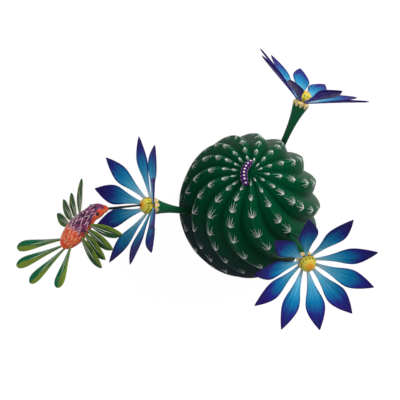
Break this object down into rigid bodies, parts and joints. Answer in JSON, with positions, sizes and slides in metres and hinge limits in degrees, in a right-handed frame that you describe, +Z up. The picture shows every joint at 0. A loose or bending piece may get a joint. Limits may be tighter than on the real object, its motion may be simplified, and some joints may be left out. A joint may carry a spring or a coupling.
{
  "type": "painted cactus ornament",
  "caption": "Carved and painted wooden barrel cactus with swirling ribs, plug-in blue flowers that turn on pegs, and a hummingbird that drinks from one of them.",
  "frame": {"origin": "middle of the flat base that the cactus stands on", "axes": "+Z up, -Y to the side that the picture was taken from, +X to the front flower's side"},
  "size_m": [0.3143, 0.2738, 0.1717],
  "materials": {
    "cactus_paint": "satin acrylic paint",
    "grub_paint": "satin acrylic paint",
    "stem_paint": "satin acrylic paint",
    "petal_paint": "satin acrylic paint, shaded",
    "centre_paint": "satin acrylic paint",
    "bare_wood": "bare turned wood",
    "beak_paint": "satin black paint",
    "bird_paint": "satin acrylic paint, shaded",
    "feather_paint": "satin acrylic paint"
  },
  "bodies": {
    "cactus": {"cactus_body": "cactus_paint", "grub": "grub_paint"},
    "front_peg": {"front_flower_peg": "bare_wood"},
    "front_flower": {"front_flower_centre": "centre_paint", "front_flower_petal_01": "petal_paint", "front_flower_petal_02": "petal_paint", "front_flower_petal_03": "petal_paint", "front_flower_petal_04": "petal_paint", "front_flower_petal_05": "petal_paint", "front_flower_petal_06": "petal_paint", "front_flower_petal_07": "petal_paint", "front_flower_petal_08": "petal_paint", "front_flower_petal_09": "petal_paint", "front_flower_petal_10": "petal_paint", "front_flower_stem": "stem_paint"},
    "left_peg": {"left_flower_peg": "bare_wood"},
    "left_flower": {"left_flower_centre": "centre_paint", "left_flower_petal_01": "petal_paint", "left_flower_petal_02": "petal_paint", "left_flower_petal_03": "petal_paint", "left_flower_petal_04": "petal_paint", "left_flower_petal_05": "petal_paint", "left_flower_petal_06": "petal_paint", "left_flower_petal_07": "petal_paint", "left_flower_petal_08": "petal_paint", "left_flower_petal_09": "petal_paint", "left_flower_petal_10": "petal_paint", "left_flower_stem": "stem_paint"},
    "back_peg": {"back_flower_peg": "bare_wood"},
    "back_flower": {"back_flower_centre": "centre_paint", "back_flower_petal_01": "petal_paint", "back_flower_petal_02": "petal_paint", "back_flower_petal_03": "petal_paint", "back_flower_petal_04": "petal_paint", "back_flower_petal_05": "petal_paint", "back_flower_petal_06": "petal_paint", "back_flower_petal_07": "petal_paint", "back_flower_petal_08": "petal_paint", "back_flower_petal_09": "petal_paint", "back_flower_stem": "stem_paint"},
    "bird_beak": {"beak": "beak_paint"},
    "hummingbird": {"hummingbird_body": "bird_paint", "left_wing_feather_1": "feather_paint", "left_wing_feather_2": "feather_paint", "left_wing_feather_3": "feather_paint", "left_wing_feather_4": "feather_paint", "right_wing_feather_1": "feather_paint", "right_wing_feather_2": "feather_paint", "right_wing_feather_3": "feather_paint", "right_wing_feather_4": "feather_paint", "tail_feather_1": "feather_paint", "tail_feather_2": "feather_paint", "tail_feather_3": "feather_paint", "tail_feather_4": "feather_paint"}
  },
  "joints": [
    {"name": "front_peg_slide", "type": "slide", "parent": "cactus", "child": "front_peg", "axis": [0.2676, -0.8236, 0.5], "range_m": [0, 0.012]},
    {"name": "front_flower_turn", "type": "hinge", "parent": "front_peg", "child": "front_flower", "pos_m": [0.0449, -0.08017, 0.10894], "axis": [0.2676, -0.8236, 0.5], "continuous": true},
    {"name": "left_peg_slide", "type": "slide", "parent": "cactus", "child": "left_peg", "axis": [-0.8138, -0.1582, 0.5592], "range_m": [0, 0.012]},
    {"name": "left_flower_turn", "type": "hinge", "parent": "left_peg", "child": "left_flower", "pos_m": [-0.08742, -0.02382, 0.10073], "axis": [-0.8138, -0.1582, 0.5592], "continuous": true},
    {"name": "back_peg_slide", "type": "slide", "parent": "cactus", "child": "back_peg", "axis": [0.4019, 0.7251, 0.5592], "range_m": [0, 0.012]},
    {"name": "back_flower_turn", "type": "hinge", "parent": "back_peg", "child": "back_flower", "pos_m": [0.04728, 0.08081, 0.10475], "axis": [0.4019, 0.7251, 0.5592], "continuous": true},
    {"name": "beak_slide", "type": "slide", "parent": "left_flower", "child": "bird_beak", "axis": [-0.8333, -0.3367, 0.4384], "range_m": [0, 0.004]},
    {"name": "hummingbird_turn", "type": "hinge", "parent": "bird_beak", "child": "hummingbird", "pos_m": [-0.09597, -0.02548, 0.1066], "axis": [-0.8333, -0.3367, 0.4384], "continuous": true}
  ]
}
